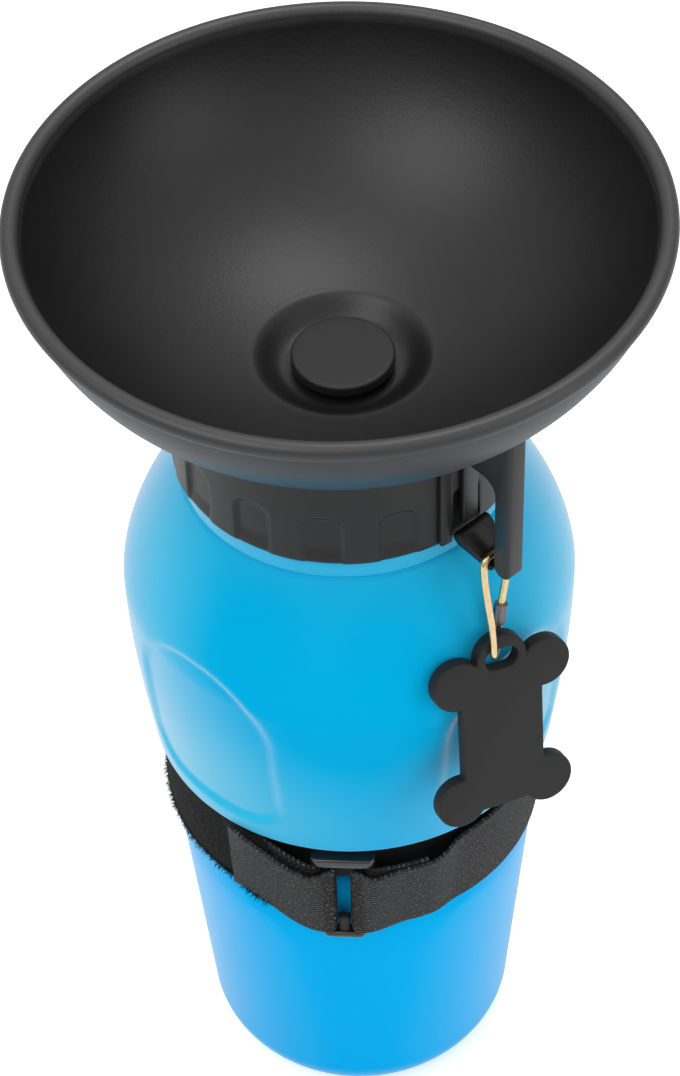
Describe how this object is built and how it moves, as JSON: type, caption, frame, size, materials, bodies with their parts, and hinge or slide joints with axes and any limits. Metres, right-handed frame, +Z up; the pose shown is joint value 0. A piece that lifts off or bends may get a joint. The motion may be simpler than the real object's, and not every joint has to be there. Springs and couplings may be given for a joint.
{
  "type": "dog travel water bottle",
  "caption": "Squeeze bottle with a drinking bowl as its lid, a lift-to-open stopper, a snap hook with a bone-shaped tag, and a webbing strap round its waist.",
  "frame": {"origin": "centre of the foot, on the surface the bottle stands on", "axes": "+Z up along the bottle's axis, -Y towards the side with the strap ring, +X to the right of that side"},
  "size_m": [0.12, 0.12, 0.232],
  "materials": {
    "bottle": "translucent satin",
    "lid": "satin, moulded",
    "seal": "matte silicone",
    "tube": "milky, semi-clear",
    "brass": "bright wire",
    "clasp": "dark plated",
    "tag": "matte, moulded",
    "band": "matte",
    "webbing": "woven, charcoal",
    "pile": "brushed pile",
    "ring": "glossy"
  },
  "bodies": {
    "bottle_body": {"bottle": "bottle", "waist_band": "band", "hand_strap": "webbing", "strap_ring": "ring", "hook_patch": "pile", "pile_patch": "pile"},
    "gasket_body": {"neck_gasket": "seal"},
    "cap": {"screw_collar": "lid", "bowl_seal": "seal", "drinking_bowl": "lid", "hook_leg": "lid", "tube_holder": "tube", "dip_tube": "tube", "stem_guide": "tube"},
    "valve": {"stopper_disc": "lid", "stopper_washer": "seal", "valve_stem": "lid", "stem_clip": "tube"},
    "gate": {"hook_gate": "lid"},
    "link": {"brass_link": "brass", "link_clasp": "clasp"},
    "tag": {"bone_tag": "tag"}
  },
  "joints": [
    {"name": "cap_lift", "type": "slide", "parent": "bottle_body", "child": "gasket_body", "axis": [0, 0, 1], "range_m": [0, 0.0061]},
    {"name": "cap_turn", "type": "hinge", "parent": "gasket_body", "child": "cap", "pos_m": [0, 0, 0.175], "axis": [0, 0, 1], "range_deg": [0, 540]},
    {"name": "valve_pull", "type": "slide", "parent": "cap", "child": "valve", "axis": [0, 0, 1], "range_m": [0, 0.004]},
    {"name": "hook_gate_flex", "type": "hinge", "parent": "cap", "child": "gate", "pos_m": [0.0229, -0.02634, 0.1765], "axis": [0.7547, 0.6561, 0], "range_deg": [0, 12], "stiffness_Nm_per_rad": 0.05},
    {"name": "link_swing", "type": "hinge", "parent": "cap", "child": "link", "pos_m": [0.02697, -0.03049, 0.1747], "axis": [-0.7547, -0.6561, 0], "range_deg": [0, 60]},
    {"name": "tag_swing", "type": "hinge", "parent": "link", "child": "tag", "pos_m": [0.02735, -0.0357, 0.15286], "axis": [0.4082, -0.8754, 0.2588], "range_deg": [-30, 30]}
  ],
  "couplings": [
    {"joint": "cap_lift", "follows": "cap_turn", "m_per_rad": 0.00063662}
  ]
}
